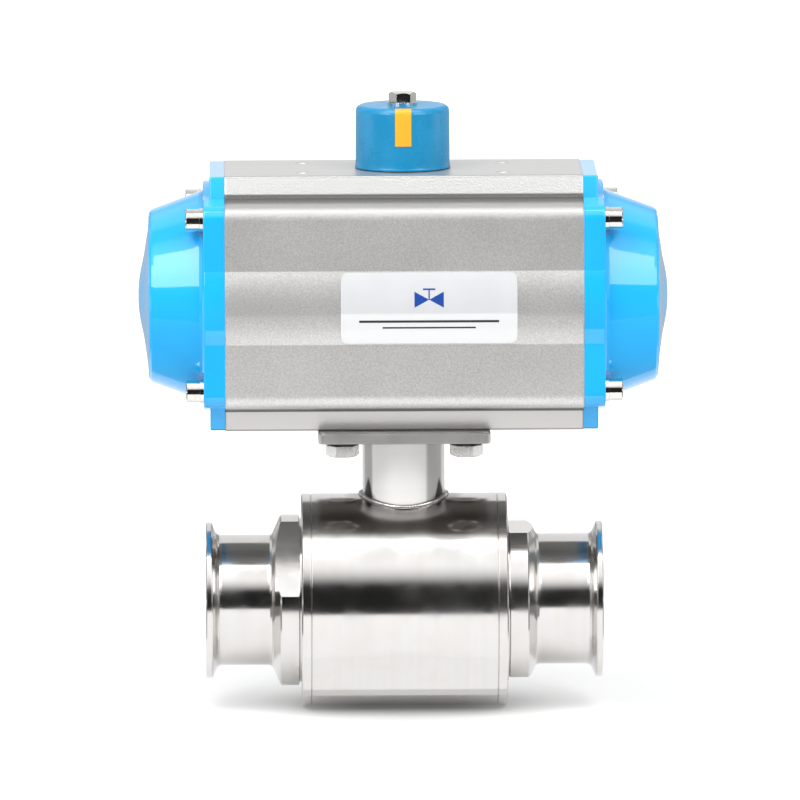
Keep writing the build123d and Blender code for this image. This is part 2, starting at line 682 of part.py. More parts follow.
# ---- springs ----
def spring_set(s):
    """Return springs between the piston and the cap."""
    pitch = (SPRING_X1 - SPRING_X0) / SPRING_TURNS
    path = Helix(pitch, SPRING_X1 - SPRING_X0, SPRING_COIL_R)
    section = Plane(origin=path @ 0, z_dir=path % 0) * Circle(SPRING_WIRE_R)
    coil = Rot(0, 90, 0) * sweep(section, path, is_frenet=True)
    coils = []
    for a in range(SPRINGS):
        angle = math.radians(a * 360 / SPRINGS)
        y = SPRING_PCR * math.cos(angle)
        z = AXIS_Z + SPRING_PCR * math.sin(angle)
        placed = Pos(SPRING_X0, y, z) * coil
        coils.append(placed if s > 0 else placed.mirror(Plane.YZ))
    return group(coils)


# ---- indicator and nameplate ----
def indicator_shell(grow=0.0):
    """Outside of the indicator as a turned solid."""
    r = IND_R + grow
    top = IND_Z1 + grow
    return turn_z([
        (0, IND_Z0), (r + 0.4, IND_Z0), (r + 0.4, IND_Z0 + 0.8), (r + 0.15, IND_Z0 + 1.6), (r, IND_Z0 + 3.0),
        (r - 0.15, top - 3.2), (r - 0.5, top - 1.8), (r - 1.4, top - 0.7), (r - 2.8, top), (0, top)])


def indicator_cap():
    """Moulded cap that turns with the pinion and covers its top end."""
    cap = indicator_shell()
    cap -= rod_z(24.4, IND_Z0 - 1, IND_Z0 + 6.2)
    cap -= rod_z(19.0, IND_Z0, TOP_Z + 7)
    cap -= block(-11.1, 11.1, -11.1, 11.1, IND_Z0, TOP_Z + 26.2) & rod_z(14.6, 250, 300)
    cap -= rod_z(4.3, 250, 300)
    groove = block(-MARK_HALF, MARK_HALF, -40, -8.6, IND_Z1 - 1.6, IND_Z1 + 3)
    groove += block(-MARK_HALF, MARK_HALF, -40, -IND_R + 2.2, IND_Z1 - MARK_DROP - 0.1, IND_Z1)
    return cap - groove


def position_mark():
    """Coloured insert over the edge of the indicator: it lies across the pipe when closed."""
    bar = block(-MARK_HALF + 0.05, MARK_HALF - 0.05, -40, -8.65, IND_Z1 - 1.55, IND_Z1 + 3)
    bar += block(-MARK_HALF + 0.05, MARK_HALF - 0.05, -40, -IND_R + 2.15, IND_Z1 - MARK_DROP, IND_Z1)
    return bar & indicator_shell(0.15)


def indicator_washer():
    return rod_z(8.5, IND_Z1 + 0.02, IND_Z1 + 1.62) - rod_z(4.3, 250, 300)


def indicator_screw():
    low = IND_Z1 + 1.64
    screw = Pos(0, 0, low) * nut_shape(14.0, 0, 5.9, turn=4)
    return screw + rod_z(4.0, low - 18, low)


def nameplate():
    """Thin label wrapped on the front of the barrel, left blank."""
    skin = rod_x(BARREL_R + PLATE_T, PLATE_X0, PLATE_X1, z=AXIS_Z)
    skin -= rod_x(BARREL_R + 0.02, PLATE_X0 - 1, PLATE_X1 + 1, z=AXIS_Z)
    sheet = block(PLATE_X0, PLATE_X1, -80, -50, AXIS_Z - PLATE_HALF, AXIS_Z + PLATE_HALF)
    return skin & fillet(sheet.edges().filter_by(Axis.Y), 4.5)


def main():
    save("valve_body", valve_body())
    save("ball", ball())
    save("stem", stem())
    save("stem_thrust_washer", stem_thrust_washer())
    save("stem_bush", stem_bush())
    save("bonnet_neck", bonnet_neck())
    save("weld_bead", weld_bead())
    save("stem_packing", packing())
    save("packing_gland", gland())
    save("disc_springs", disc_springs())
    save("stem_nut", stem_nut())
    save("mounting_pad", mounting_pad())
    save("locating_ring", locating_ring())
    save("mounting_bolts", mounting_bolts())
    save("mounting_washers", mounting_washers())
    save("actuator_housing", actuator_housing())
    save("pinion", pinion())
    save("drive_sleeve", drive_sleeve())
    save("stop_cam", stop_cam())
    save("lower_pinion_bearing", lower_bearing())
    save("upper_pinion_bearing", upper_bearing())
    save("lower_pinion_seal", lower_pinion_seal())
    save("pinion_thrust_washer", thrust_washer())
    save("pinion_snap_ring", snap_ring())
    save("closed_stop_bolt", stop_bolt(-1))
    save("open_stop_bolt", stop_bolt(1))
    save("stop_lock_nuts", stop_nuts())
    save("stop_seal_washers", stop_seals())
    save("indicator_cap", indicator_cap())
    save("position_mark", position_mark())
    save("indicator_washer", indicator_washer())
    save("indicator_screw", indicator_screw())
    save("nameplate", nameplate())
    for name, s in SIDES:
        save(f"{name}_end_adapter", end_adapter(s))
        save(f"{name}_seat", seat(s))
        save(f"{name}_body_seal", body_seal(s))
        save(f"{name}_end_cap", end_cap(s))
        save(f"{name}_cap_seal", cap_seal(s))
        save(f"{name}_cap_screws", cap_screws(s))
        save(f"{name}_cap_washers", cap_washers(s))
        save(f"{name}_piston", piston(s))
        save(f"{name}_piston_seal", piston_seal(s))
        save(f"{name}_piston_guide_ring", piston_guide_ring(s))
        save(f"{name}_rack_guide", rack_guide(s))
        save(f"{name}_return_springs", spring_set(s))


main()
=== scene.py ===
import math

import bmesh
import bpy
from mathutils import Matrix, Vector


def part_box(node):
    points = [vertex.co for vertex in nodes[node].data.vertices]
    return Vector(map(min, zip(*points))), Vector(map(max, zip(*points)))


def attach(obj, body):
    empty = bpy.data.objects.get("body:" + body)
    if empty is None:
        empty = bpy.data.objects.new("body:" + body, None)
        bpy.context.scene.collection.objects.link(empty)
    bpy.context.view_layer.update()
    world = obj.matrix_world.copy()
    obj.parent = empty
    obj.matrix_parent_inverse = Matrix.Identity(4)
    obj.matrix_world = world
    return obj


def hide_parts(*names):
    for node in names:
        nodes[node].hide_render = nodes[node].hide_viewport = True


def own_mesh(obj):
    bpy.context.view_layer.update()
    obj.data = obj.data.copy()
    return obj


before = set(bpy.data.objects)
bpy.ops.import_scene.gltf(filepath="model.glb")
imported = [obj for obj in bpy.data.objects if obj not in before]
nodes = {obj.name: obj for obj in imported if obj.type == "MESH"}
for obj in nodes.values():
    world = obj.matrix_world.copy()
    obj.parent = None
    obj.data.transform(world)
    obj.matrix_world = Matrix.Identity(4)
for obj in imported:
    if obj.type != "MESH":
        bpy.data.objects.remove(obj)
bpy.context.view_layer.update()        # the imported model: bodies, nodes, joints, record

# Looks for a sanitary ball valve with a rack-and-pinion actuator. Metres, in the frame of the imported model:
# +X along the pipe, -Y towards the front with the label, +Z up the stem, origin at the ball's centre.

scene = bpy.context.scene

MM = 0.001


# ---- places, worked out from the frame ----
BODY_LOW, BODY_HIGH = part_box("valve_body")
BODY_R = BODY_HIGH.y
FLOOR_Z = BODY_LOW.z
NECK_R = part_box("bonnet_neck")[1].x
PAD_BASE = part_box("mounting_pad")[0].z
BOLT_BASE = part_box("mounting_bolts")[0].z
HOUSING_LOW, HOUSING_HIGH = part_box("actuator_housing")
HOUSING_BASE = HOUSING_LOW.z
AXIS_Z = (HOUSING_LOW.z + HOUSING_HIGH.z) / 2
HALF_HEIGHT = (HOUSING_HIGH.z - HOUSING_LOW.z) / 2
PLATE_LOW, PLATE_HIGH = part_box("nameplate")

LEDGE_RISE = 62.0 * MM          # ledge at the rails' feet, above and below the cylinder's axis
RAIL_HALF = 41.5 * MM           # half width of the flat on top of the housing
CAP_FLAT_R = 23.6 * MM          # where the flat top of the indicator cap ends

YELLOW = (0.84, 0.39, 0.018)
INDICATOR_BLUE = (0.006, 0.222, 0.44)


# ---- node graphs ----
def rgb(red, green, blue):
    return (red, green, blue, 1.0)


class Graph:
    """Shorthand for wiring shader nodes. The helpers return output sockets."""

    def __init__(self, tree):
        self.tree = tree
        self.tree.nodes.clear()

    def add(self, kind):
        return self.tree.nodes.new("ShaderNode" + kind)

    def feed(self, socket, value):
        if isinstance(value, bpy.types.NodeSocket):
            self.tree.links.new(value, socket)
        else:
            socket.default_value = value

    def math(self, operation, a, b=0.0):
        node = self.add("Math")
        node.operation = operation
        self.feed(node.inputs[0], a)
        self.feed(node.inputs[1], b)
        return node.outputs[0]

    def times(self, product, *others):
        for other in others:
            product = self.math("MULTIPLY", product, other)
        return product

    def gap(self, a, b):
        """How far apart two values are."""
        return self.math("ABSOLUTE", self.math("SUBTRACT", a, b))

    def distance(self, x, y):
        squares = self.math("ADD", self.math("MULTIPLY", x, x), self.math("MULTIPLY", y, y))
        return self.math("POWER", squares, 0.5)

    def span(self, value, low, high, to_low=0.0, to_high=1.0):
        """Map value from low..high to to_low..to_high with eased ends, clamped."""
        node = self.add("MapRange")
        node.interpolation_type = "SMOOTHSTEP"
        for socket, item in zip(node.inputs, (value, low, high, to_low, to_high)):
            self.feed(socket, item)
        return node.outputs["Result"]

    def fade(self, value, low, high):
        """1 below low and 0 above high."""
        return self.span(value, low, high, 1.0, 0.0)

    def split(self, vector):
        node = self.add("SeparateXYZ")
        self.feed(node.inputs[0], vector)
        return node.outputs


class Mat(Graph):
    """A node-based material around one Principled shader."""

    def __init__(self, name, metallic=0.0, roughness=0.5, **sockets):
        self.material = bpy.data.materials.new(name)
        self.material.use_nodes = True
        super().__init__(self.material.node_tree)
        output = self.add("OutputMaterial")
        self.shader = self.add("BsdfPrincipled")
        self.tree.links.new(self.shader.outputs["BSDF"], output.inputs["Surface"])
        self.set(Metallic=metallic, Roughness=roughness)
        for key, value in sockets.items():
            self.shader.inputs[key.replace("_", " ")].default_value = value
        self.place = self.add("TexCoord").outputs["Object"]
        self.normal = None

    def set(self, **sockets):
        """Set or link sockets of the shader; an underscore in a name stands for a space."""
        for key, value in sockets.items():
            self.feed(self.shader.inputs[key.replace("_", " ")], value)

    def colour(self):
        """The socket that feeds the base colour so far."""
        return self.shader.inputs["Base Color"].links[0].from_socket

    def xyz(self):
        return self.split(self.place)

    def noise(self, scale, detail=2.0, rough=0.5):
        """Noise from 0 to 1; scale is features per metre, one number or one per axis."""
        stretch = self.add("Mapping")
        self.feed(stretch.inputs["Vector"], self.place)
        stretch.inputs["Scale"].default_value = scale if isinstance(scale, tuple) else (scale,) * 3
        node = self.add("TexNoise")
        self.feed(node.inputs["Vector"], stretch.outputs[0])
        node.inputs["Scale"].default_value = 1.0
        node.inputs["Detail"].default_value = detail
        node.inputs["Roughness"].default_value = rough
        return node.outputs["Fac"]

    def blend(self, share, a, b):
        """Colour a where share is 0 and b where it is 1."""
        node = self.add("Mix")
        node.data_type = "RGBA"
        first, second = [s for s in node.inputs if s.type == "RGBA"]
        self.feed(node.inputs["Factor"], share)
        self.feed(first, a)
        self.feed(second, b)
        return [s for s in node.outputs if s.type == "RGBA"][0]

    def shade(self, colour, spread, value):
        """A colour whose brightness runs from 1 - spread to 1 + spread with value from 0 to 1."""
        dark = rgb(*(c * (1 - spread) for c in colour[:3]))
        light = rgb(*(min(1.0, c * (1 + spread)) for c in colour[:3]))
        return self.blend(value, dark, light)

    def cloudy(self, colour, spread, noise):
        """A colour that drifts with noise, by up to spread either way."""
        return self.shade(rgb(*colour), spread, self.span(noise, 0.3, 0.7))

    def bump(self, height, distance, strength=1.0):
        """Add a bump of up to distance metres; several calls stack."""
        node = self.add("Bump")
        node.inputs["Strength"].default_value = strength
        node.inputs["Distance"].default_value = distance
        self.feed(node.inputs["Height"], height)
        if self.normal is not None:
            self.feed(node.inputs["Normal"], self.normal)
        self.normal = node.outputs["Normal"]
        self.set(Normal=self.normal)

    def rounded(self, radius):
        """Catch light on sharp edges as if they were broken by this radius; comes before any bump."""
        node = self.add("Bevel")
        node.samples = 4
        node.inputs["Radius"].default_value = radius
        self.normal = node.outputs["Normal"]
        self.set(Normal=self.normal)

    def turned(self, axis, amount):
        """Stretch the gloss across turning marks that run round the given axis."""
        node = self.add("Tangent")
        node.direction_type = "RADIAL"
        node.axis = axis
        self.set(Tangent=node.outputs[0], Anisotropic=amount)
        self.shader.inputs["Anisotropic Rotation"].default_value = 0.25


# ---- materials of the housing and caps ----
def rail_shade_and_edge_line(m, y, z, rise):
    """Share of painted shade in the corners at the rails' feet and on the underside, and of a dark line along
    the top rail's edges.
    """
    aside = m.math("ABSOLUTE", y)
    foot = m.times(m.span(rise, LEDGE_RISE - 4.0 * MM, LEDGE_RISE - 3.4 * MM),
                   m.fade(rise, LEDGE_RISE + 1.6 * MM, LEDGE_RISE + 2.8 * MM),
                   m.fade(aside, 51.5 * MM, 60.5 * MM))
    # below the axis only a thin line is left of the dark foot
    upper = m.math("MAXIMUM", m.span(z, AXIS_Z, AXIS_Z + 1 * MM),
                   m.fade(rise, LEDGE_RISE + 0.5 * MM, LEDGE_RISE + 1.2 * MM))
    edge = m.times(m.span(rise, HALF_HEIGHT - 1.4 * MM, HALF_HEIGHT - 0.8 * MM),
                   m.span(aside, RAIL_HALF - 1.2 * MM, RAIL_HALF - 0.6 * MM))
    below = m.span(z, HOUSING_BASE + 0.3 * MM, HOUSING_BASE + 0.8 * MM, 0.75, 0.0)
    dark_share = m.math("MAXIMUM", m.times(foot, upper, 0.85), m.times(edge, 0.4))
    return m.math("MAXIMUM", dark_share, below)


def blasted_aluminium():
    """Extruded housing: bead-blasted and anodised, smoother on the rails, with painted shade in the corners
    at their feet, under the upper ledges and underneath, and painted light on the lower half and the upper
    rail sides."""
    m = Mat("blasted_aluminium", metallic=0.65)
    _, y, z = m.xyz()
    rise = m.gap(z, AXIS_Z)
    grain = m.noise(950, 3, 0.65)
    draw = m.noise((3, 420, 420), 2)
    m.rounded(0.9 * MM)
    m.bump(grain, 0.28 * MM, 0.55)
    m.bump(draw, 0.05 * MM, 0.35)
    # painted light: the lower half is a lighter grey than the upper half
    upper_half = m.cloudy((0.61, 0.605, 0.59), 0.12, grain)
    lower_half = m.cloudy((0.70, 0.69, 0.675), 0.12, grain)
    blasted = m.blend(m.fade(z, AXIS_Z - 6 * MM, AXIS_Z - 2 * MM), upper_half, lower_half)
    # painted shade on the barrel's shoulder under the upper ledges
    under_ledge_shade = m.times(m.span(z, AXIS_Z + 52.0 * MM, AXIS_Z + 55.5 * MM),
                       m.fade(rise, LEDGE_RISE - 0.2 * MM, LEDGE_RISE + 0.4 * MM), 0.8)
    blasted = m.blend(under_ledge_shade, blasted, rgb(0.40, 0.39, 0.38))
    # painted light and shade: the upper rail sides lighter than the lower ones
    top_half = m.span(z, AXIS_Z, AXIS_Z + 1 * MM)
    rail_sides = m.blend(top_half, rgb(0.59, 0.575, 0.56), rgb(0.76, 0.76, 0.74))
    flat = m.span(rise, HALF_HEIGHT - 0.5 * MM, HALF_HEIGHT - 0.1 * MM)
    rails = m.blend(flat, rail_sides, m.cloudy((0.54, 0.54, 0.53), 0.04, draw))
    on_rail = m.span(rise, LEDGE_RISE + 0.2 * MM, LEDGE_RISE + 1.4 * MM)
    metal = m.blend(on_rail, blasted, rails)
    # painted shade in the corners at the rails' feet and underneath, and a dark line along the top rail's
    # edges
    m.set(Base_Color=m.blend(rail_shade_and_edge_line(m, y, z, rise), metal, rgb(0.07, 0.07, 0.065)))
    rail_rough = 0.30
    extra = m.span(m.noise(26, 2), 0.2, 0.8, 0.38 - rail_rough, 0.45 - rail_rough)
    m.set(Roughness=m.math("ADD", m.times(extra, m.math("SUBTRACT", 1.0, on_rail)), rail_rough))
    return m


def cap_paint():
    """Thick gloss enamel over a casting, with painted shade on the downward faces."""
    m = Mat("cap_enamel", roughness=0.32, Coat_Weight=1.0, Coat_Roughness=0.05, Coat_IOR=1.6,
            Specular_IOR_Level=0.15)
    m.rounded(0.5 * MM)
    m.bump(m.noise(70, 1), 0.6 * MM, 0.22)
    m.bump(m.noise(330, 2), 0.12 * MM, 0.12)
    _, _, z = m.xyz()
    coat = m.shade(rgb(0.010, 0.39, 0.82), 0.04, m.span(m.noise(22, 2), 0.35, 0.65))
    # painted shade on the downward faces at the housing's base
    below = m.fade(z, HOUSING_BASE + 0.7 * MM, HOUSING_BASE + 1.4 * MM)
    m.set(Base_Color=m.blend(below, coat, rgb(0.003, 0.07, 0.16)))
    return m


def label_film():
    """White polyester label, with painted light in its lower part, printed with a plain valve symbol and two
    rules.
    """
    m = Mat("label_film", roughness=0.28, Coat_Weight=1.0, Coat_Roughness=0.10)
    m.bump(m.noise(160, 2), 0.06 * MM, 0.12)
    x, _, z = m.xyz()
    across = m.gap(x, (PLATE_LOW.x + PLATE_HIGH.x) / 2)
    rise = m.math("SUBTRACT", z, AXIS_Z)

    def strip(middle, half_height, half_width):
        return m.times(m.math("LESS_THAN", m.gap(rise, middle), half_height),
                       m.math("LESS_THAN", across, half_width))

    # the two triangles of a valve symbol meet at a point; a stem and a handle stand on it
    bow = m.times(m.math("LESS_THAN", m.gap(rise, 5.2 * MM), m.times(across, 0.55)),
                  m.math("LESS_THAN", across, 8.5 * MM))
    stem = strip(8.2 * MM, 3.0 * MM, 0.4 * MM)
    handle = strip(11.2 * MM, 0.5 * MM, 3.6 * MM)
    symbol = m.math("MAXIMUM", bow, m.math("MAXIMUM", stem, handle))
    long_rule = strip(-7.5 * MM, 0.7 * MM, 40.5 * MM)
    short_rule = strip(-11.2 * MM, 0.5 * MM, 27.0 * MM)
    rules = m.math("MAXIMUM", long_rule, short_rule)
    film = m.cloudy((0.545, 0.555, 0.57), 0.02, m.noise(45, 2))
    # painted light: the lower part of the label is paler
    film = m.blend(m.fade(rise, -3.8 * MM, -2.2 * MM), film, rgb(0.68, 0.685, 0.69))
    printed = m.blend(symbol, film, rgb(0.012, 0.06, 0.30))
    m.set(Base_Color=m.blend(rules, printed, rgb(0.035, 0.035, 0.04)))
    return m


# ---- materials of the steel pieces ----
def weld_heat(m, plain):
    """Heat tint on the barrel round the neck's weld, over a plain colour."""
    x, y, z = m.xyz()
    above_ball = m.span(z, 44 * MM, 46 * MM)
    heat = m.times(m.fade(m.distance(x, y), NECK_R + 5 * MM, NECK_R + 13 * MM), above_ball, 0.75)
    return m.blend(heat, plain, rgb(0.16, 0.145, 0.135))


def polished_steel(name, axis, colour=(0.70, 0.695, 0.685), rough=0.13, metallic=1.0, stretch=0.55,
                   heated=False):
    """Stainless steel turned about an axis and polished: fine rings, faint cloudiness and wipe marks."""
    m = Mat(name, metallic=metallic)
    fine = {"X": (1500, 4, 4), "Z": (4, 4, 1500)}[axis]
    broad = {"X": (260, 6, 6), "Z": (6, 6, 260)}[axis]
    cloud = m.noise(38, 3, 0.6)
    m.rounded(0.2 * MM)
    m.bump(m.noise(fine, 2, 0.6), 0.02 * MM, 0.12)
    m.bump(cloud, 0.3 * MM, 0.05)
    plain = m.cloudy(colour, 0.01, m.noise(broad, 1))
    if heated:
        plain = weld_heat(m, plain)
    warm = rgb(*(c * k for c, k in zip(colour, (0.97, 0.93, 0.90))))
    blotch = m.span(m.noise(55, 4, 0.65), 0.4, 0.7, 0.0, 0.5)
    m.set(Base_Color=m.blend(blotch, plain, warm))
    m.set(Roughness=m.span(cloud, 0.35, 0.7, rough, rough + 0.09))
    m.turned(axis, stretch)
    return m


def neck_steel():
    """Turned neck, brushed lighter than the body, with painted shade down both sides, and heat-tinted by the
    weld.
    """
    m = polished_steel("turned_steel_z", "Z", colour=(0.99, 0.98, 0.965), rough=0.34, metallic=0.12,
                       stretch=0.8)
    x, _, z = m.xyz()
    across = m.math("DIVIDE", x, NECK_R)
    # painted shade down both sides of the neck
    right = m.times(m.span(across, 0.50, 0.60), m.fade(across, 0.88, 0.95))
    left = m.times(m.fade(across, -0.80, -0.74), m.span(across, -0.97, -0.93))
    sides = m.times(m.math("MAXIMUM", left, right), 0.75)
    shaded = m.blend(sides, m.colour(), rgb(0.34, 0.33, 0.32))
    # flames of heat tint stand on the barrel's highest line, at the neck's two sides
    off = m.gap(m.math("ABSOLUTE", across), 0.86)
    tip = m.span(off, 0.0, 0.12, BODY_R + 9 * MM, BODY_R - 1 * MM)
    streak = m.times(m.noise((700, 700, 15), 2), 4 * MM)
    above_tip = m.math("SUBTRACT", m.math("SUBTRACT", z, streak), tip)
    flame = m.times(m.fade(above_tip, -3 * MM, 2 * MM), m.fade(off, 0.10, 0.20), 0.95)
    m.set(Base_Color=m.blend(flame, shaded, rgb(0.012, 0.012, 0.014)))
    return m


def satin_steel():
    """Machined stainless: pad, gland and nut, with painted shade on the pad's underside."""
    m = Mat("satin_steel", metallic=0.75)
    cloud = m.noise(60, 3)
    m.rounded(0.3 * MM)
    m.bump(m.noise((25, 25, 1700), 2), 0.04 * MM, 0.4)
    _, _, z = m.xyz()
    unshaded = m.cloudy((0.62, 0.615, 0.60), 0.05, cloud)
    # painted shade on the pad's underside
    underside = m.fade(m.gap(z, PAD_BASE), 0.1 * MM, 0.3 * MM)
    m.set(Base_Color=m.blend(underside, unshaded, rgb(0.10, 0.092, 0.085)))
    m.set(Roughness=m.span(cloud, 0.3, 0.7, 0.30, 0.36))
    return m


def bolt_steel():
    """Bright stainless bolts, with painted shade on the undersides of their heads."""
    m = Mat("bolt_steel", metallic=0.45)
    cloud = m.noise(160, 2)
    m.rounded(0.35 * MM)
    _, _, z = m.xyz()
    unshaded = m.cloudy((0.82, 0.81, 0.795), 0.03, cloud)
    # painted shade on the undersides of the bolt heads
    underside = m.fade(m.math("SUBTRACT", z, BOLT_BASE), 0.1 * MM, 0.3 * MM)
    m.set(Base_Color=m.blend(underside, unshaded, rgb(0.12, 0.11, 0.10)))
    m.set(Roughness=m.span(cloud, 0.3, 0.7, 0.26, 0.32))
    return m


def lock_washer_shade():
    """Washers between the bolt heads and the pad, painted nearly black as the shade between them."""
    m = Mat("lock_washer_shade", metallic=0.8)
    cloud = m.noise(300, 2)
    # painted shade: the washers are nearly black for the shade between the heads and the pad
    m.set(Base_Color=m.cloudy((0.10, 0.10, 0.10), 0.2, cloud))
    m.set(Roughness=m.span(cloud, 0.3, 0.7, 0.4, 0.5))
    return m


def bright_zinc():
    """Plated screws and washers, with the faint yellow of old passivation."""
    m = Mat("bright_zinc", metallic=1.0)
    cloud = m.noise(420, 3, 0.6)
    m.rounded(0.15 * MM)
    m.bump(m.noise(1800, 2), 0.03 * MM, 0.25)
    m.set(Base_Color=m.blend(m.span(cloud, 0.45, 0.75), rgb(0.80, 0.79, 0.76), rgb(0.74, 0.68, 0.55)))
    m.set(Roughness=m.span(cloud, 0.3, 0.7, 0.07, 0.14))
    return m


def machined_aluminium():
    """Pistons: die-cast and turned."""
    m = Mat("machined_aluminium", metallic=1.0)
    rings = m.noise((1400, 6, 6), 2)
    m.bump(rings, 0.03 * MM, 0.4)
    m.set(Base_Color=m.shade(rgb(0.66, 0.66, 0.65), 0.06, rings))
    m.set(Roughness=m.span(rings, 0.3, 0.7, 0.26, 0.36))
    return m


def spring_wire():
    """Phosphated spring wire."""
    m = Mat("spring_wire", metallic=1.0)
    cloud = m.noise(500, 3)
    m.bump(cloud, 0.03 * MM, 0.4)
    m.set(Base_Color=m.cloudy((0.16, 0.16, 0.17), 0.25, cloud))
    m.set(Roughness=m.span(cloud, 0.3, 0.7, 0.34, 0.5))
    return m


# ---- materials of the plastic and rubber pieces ----
def moulded(name, colour, rough, spread=0.05, grain=900, depth=0.04 * MM):
    """Moulded plastic or rubber with a fine matt texture and slight unevenness."""
    m = Mat(name)
    cloud = m.noise(60, 3)
    m.rounded(0.2 * MM)
    m.bump(m.noise(grain, 2), depth, 0.4)
    m.set(Base_Color=m.cloudy(colour, spread, cloud))
    m.set(Roughness=m.span(cloud, 0.3, 0.7, rough - 0.04, rough + 0.05))
    return m


def position_mark_plastic():
    """Yellow down the front of the indicator cap and blue where the bar crosses the cap's top."""
    m = moulded("mark_plastic", YELLOW, 0.36, grain=1300, depth=0.03 * MM)
    x, y, _ = m.xyz()
    on_top = m.fade(m.distance(x, y), CAP_FLAT_R - 0.2 * MM, CAP_FLAT_R + 0.2 * MM)
    m.set(Base_Color=m.blend(on_top, m.colour(), rgb(*INDICATOR_BLUE)))
    return m


# ---- which piece wears what ----
barrel_steel = polished_steel("polished_steel_x", "X", colour=(0.72, 0.707, 0.693), stretch=0.3, heated=True)
weld_steel = polished_steel("weld_steel", "Z", rough=0.16)
wire = spring_wire()

LOOKS = {
    barrel_steel: ("valve_body", "left_end_adapter", "right_end_adapter", "ball"),
    neck_steel(): ("bonnet_neck",),
    satin_steel(): ("mounting_pad", "packing_gland", "disc_springs", "stem", "stem_nut", "drive_sleeve"),
    bolt_steel(): ("mounting_bolts",),
    lock_washer_shade(): ("mounting_washers",),
    blasted_aluminium(): ("actuator_housing",),
    cap_paint(): ("left_end_cap", "right_end_cap"),
    bright_zinc(): ("left_cap_screws", "right_cap_screws", "left_cap_washers", "right_cap_washers",
                    "stop_lock_nuts", "closed_stop_bolt", "open_stop_bolt", "indicator_washer",
                    "indicator_screw", "pinion", "stop_cam"),
    machined_aluminium(): ("left_piston", "right_piston"),
    wire: ("pinion_snap_ring",),
    label_film(): ("nameplate",),
    moulded("ptfe", (0.80, 0.80, 0.77), 0.42): (
        "left_seat", "right_seat", "left_body_seal", "right_body_seal", "stem_thrust_washer", "stem_bush",
        "stem_packing"),
    moulded("acetal", (0.72, 0.70, 0.62), 0.40): (
        "locating_ring", "lower_pinion_bearing", "upper_pinion_bearing", "pinion_thrust_washer",
        "left_piston_guide_ring", "right_piston_guide_ring", "left_rack_guide", "right_rack_guide"),
    moulded("nitrile_rubber", (0.02, 0.02, 0.021), 0.55, spread=0.2): (
        "left_cap_seal", "right_cap_seal", "stop_seal_washers", "lower_pinion_seal", "left_piston_seal",
        "right_piston_seal"),
    moulded("indicator_plastic", INDICATOR_BLUE, 0.29, grain=1300, depth=0.03 * MM): ("indicator_cap",),
    position_mark_plastic(): ("position_mark",),
}
for look, names in LOOKS.items():
    for name in names:
        slots = nodes[name].data.materials
        for i in range(len(slots)):
            slots[i] = look.material


# ---- pieces made here ----
def add_piece(name, mesh, mat):
    mesh.materials.append(mat.material)
    piece = bpy.data.objects.new(name, mesh)
    scene.collection.objects.link(piece)
    return piece


def sweep(bm, points, radii, sides, closed=False):
    """Add a tube of varying radius through points; the section turns as little as it can."""
    count = len(points)
    rings = []
    side = None
    for i, point in enumerate(points):
        after = points[(i + 1) % count] if closed or i < count - 1 else point
        before = points[i - 1] if closed or i > 0 else point
        along = (after - before).normalized()
        if side is None:
            side = along.orthogonal().normalized()
        side = (side - along * side.dot(along)).normalized()
        third = along.cross(side)
        ring = []
        for k in range(sides):
            angle = 2 * math.pi * k / sides
            ring.append(bm.verts.new(point + (side * math.cos(angle) + third * math.sin(angle)) * radii[i]))
        rings.append(ring)
    faces = []
    for i in range(count if closed else count - 1):
        a, b = rings[i], rings[(i + 1) % count]
        for k in range(sides):
            j = (k + 1) % sides
            faces.append(bm.faces.new((a[k], a[j], b[j], b[k])))
            faces[-1].smooth = True
    if not closed:
        faces.append(bm.faces.new(list(reversed(rings[0]))))
        faces.append(bm.faces.new(rings[-1]))
    bmesh.ops.recalc_face_normals(bm, faces=faces)


def weld():
    """Weld bead round the neck's foot: overlapping ripples on the saddle line where neck and barrel meet."""
    steps = 720
    ripples = 96
    path_r = NECK_R + 0.5 * MM
    points, radii = [], []
    for i in range(steps):
        angle = 2 * math.pi * i / steps
        x = path_r * math.cos(angle)
        y = path_r * math.sin(angle)
        points.append(Vector((x, y, math.sqrt(BODY_R**2 - y**2) + 0.35 * MM)))
        phase = (i / steps * ripples) % 1.0
        radii.append((1.75 + 0.16 * phase + 0.05 * math.sin(5 * angle)) * MM)
    bm = bmesh.new()
    sweep(bm, points, radii, 14, closed=True)
    mesh = bpy.data.meshes.new("weld_ripples")
    bm.to_mesh(mesh)
    bm.free()
    piece = add_piece("weld_ripples", mesh, weld_steel)
    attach(piece, "root")
    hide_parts("weld_bead")


def spring_pack(side, s):
    """Six return springs of one end as coils."""
    low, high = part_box(f"{side}_return_springs")
    springs = 6
    coils = 9
    per_turn = 20
    wire_r = 1.8 * MM
    coil_r = 11.2 * MM
    ring_r = 28.0 * MM
    start, end = (low.x, high.x) if s > 0 else (high.x, low.x)
    bm = bmesh.new()
    for k in range(springs):
        spot = 2 * math.pi * k / springs
        y0 = ring_r * math.cos(spot)
        z0 = AXIS_Z + ring_r * math.sin(spot)
        points = []
        for i in range(coils * per_turn + 1):
            share = i / (coils * per_turn)
            turn = 2 * math.pi * coils * share
            x = start + s * wire_r + (end - start - 2 * s * wire_r) * share
            points.append(Vector((x, y0 + coil_r * math.cos(turn), z0 + coil_r * math.sin(turn))))
        sweep(bm, points, [wire_r] * len(points), 10)
    mesh = bpy.data.meshes.new(f"{side}_spring_coils")
    bm.to_mesh(mesh)
    bm.free()
    piece = add_piece(f"{side}_spring_coils", mesh, wire)
    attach(piece, "root")
    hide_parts(f"{side}_return_springs")
    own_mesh(piece)


weld()
spring_pack("left", -1)
spring_pack("right", 1)


# ---- floor and what reflections see of the studio ----
FLOOR_ALBEDO = 0.50
FLOOR_GLOW_NEAR = 0.46
FLOOR_GLOW_FAR = 0.90
FLOOR_HALF = 14.0
WORLD_WALL = 1.15
WORLD_TOP = 0.85


